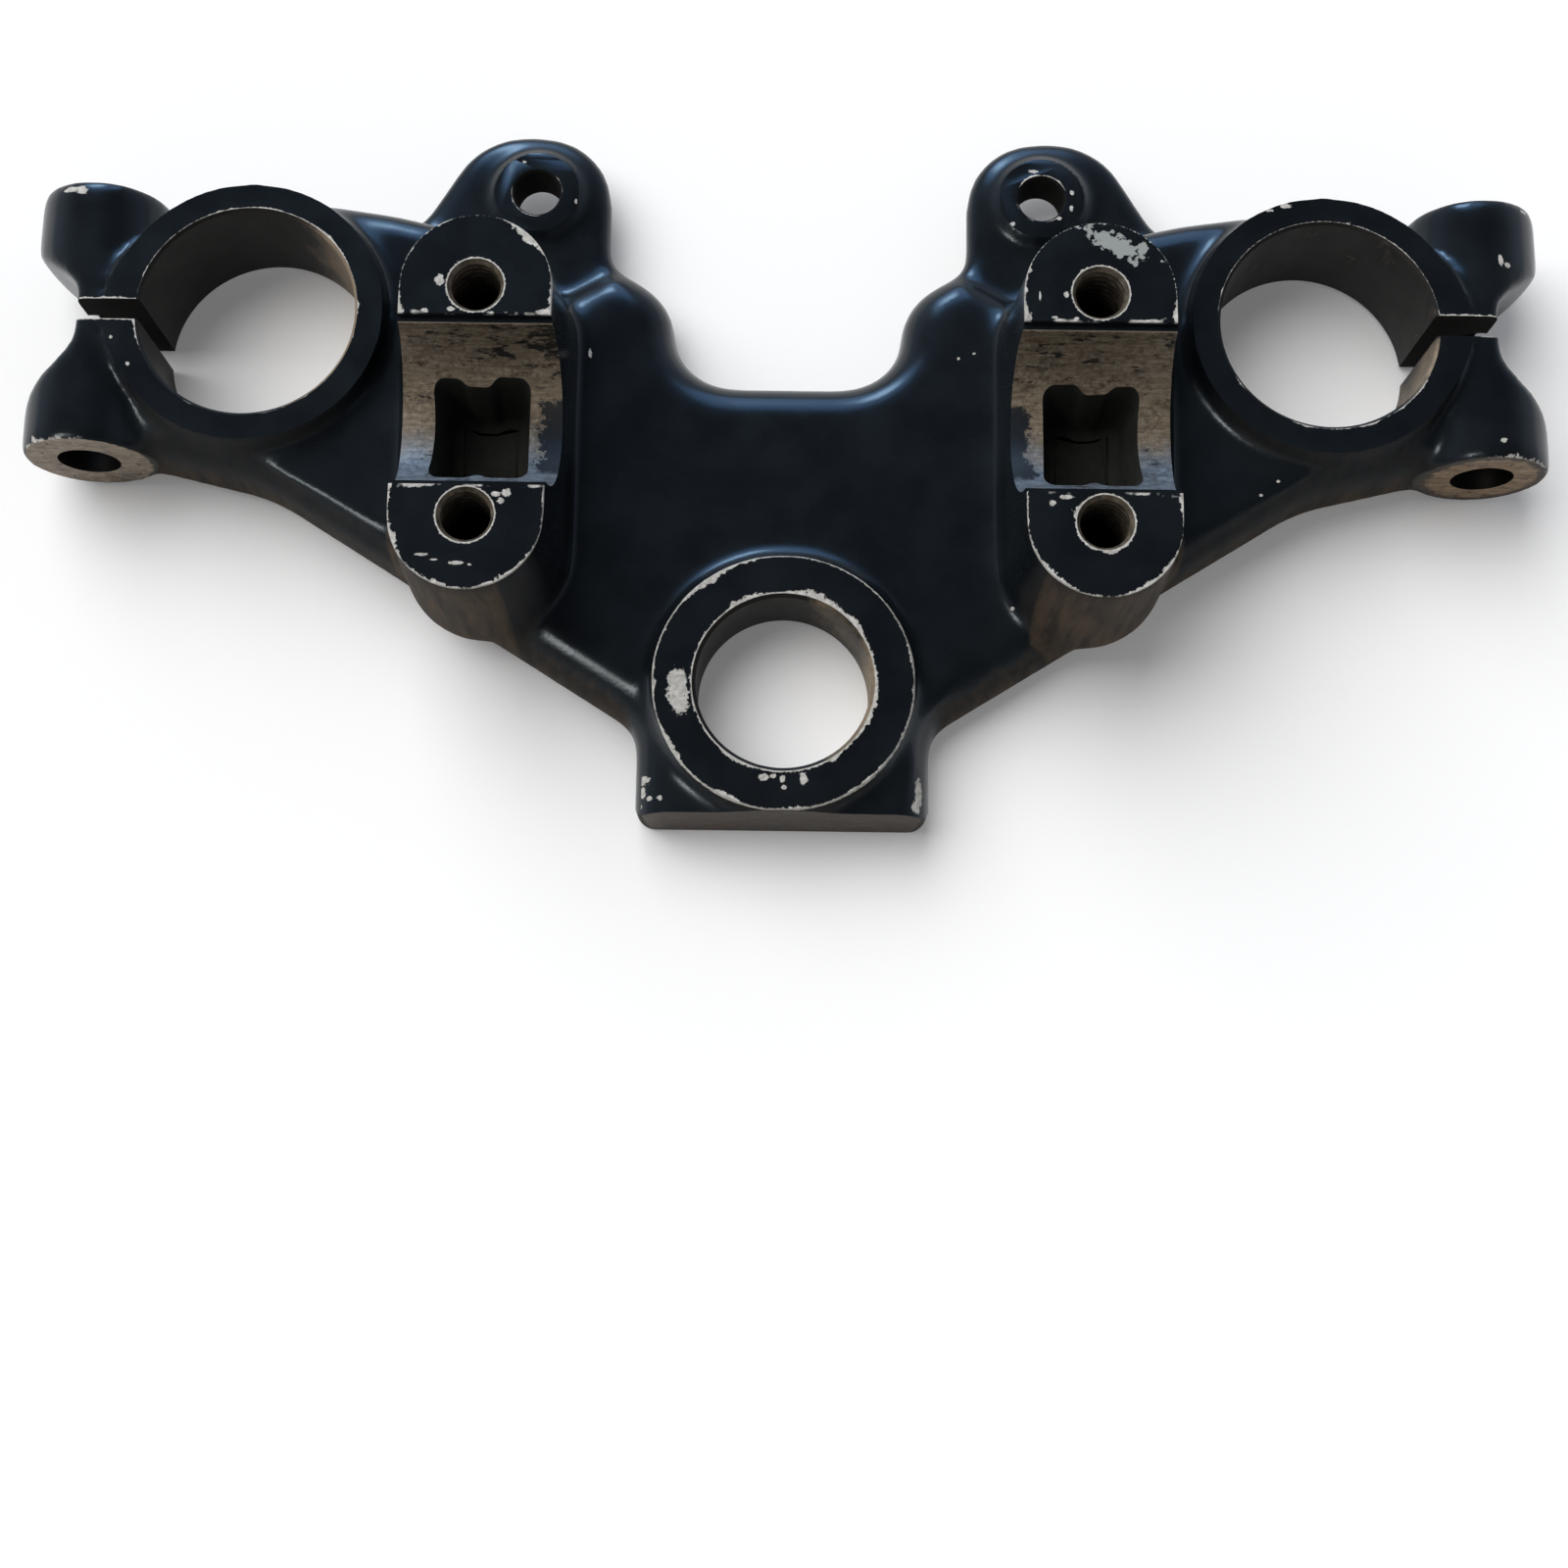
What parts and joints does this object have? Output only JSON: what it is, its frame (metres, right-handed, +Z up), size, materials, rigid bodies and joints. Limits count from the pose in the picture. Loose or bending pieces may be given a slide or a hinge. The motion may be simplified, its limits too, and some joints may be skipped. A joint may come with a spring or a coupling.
{
  "type": "motorcycle triple clamp",
  "caption": "Cast top yoke that joins a steering stem to two slit fork clamps, with handlebar risers and instrument ears.",
  "frame": {"origin": "centre of the steering stem bore at the casting's underside", "axes": "+Z up along the stem, +Y forward towards the fork tubes, +X to the rider's right"},
  "size_m": [0.214, 0.1025, 0.03],
  "materials": {
    "painted_casting": "gloss blue-black paint over cast aluminium, chipped at the edges",
    "machined_faces": "bare machined aluminium, stained and dull"
  },
  "bodies": {
    "root": {"yoke_casting": "painted_casting"}
  },
  "joints": []
}
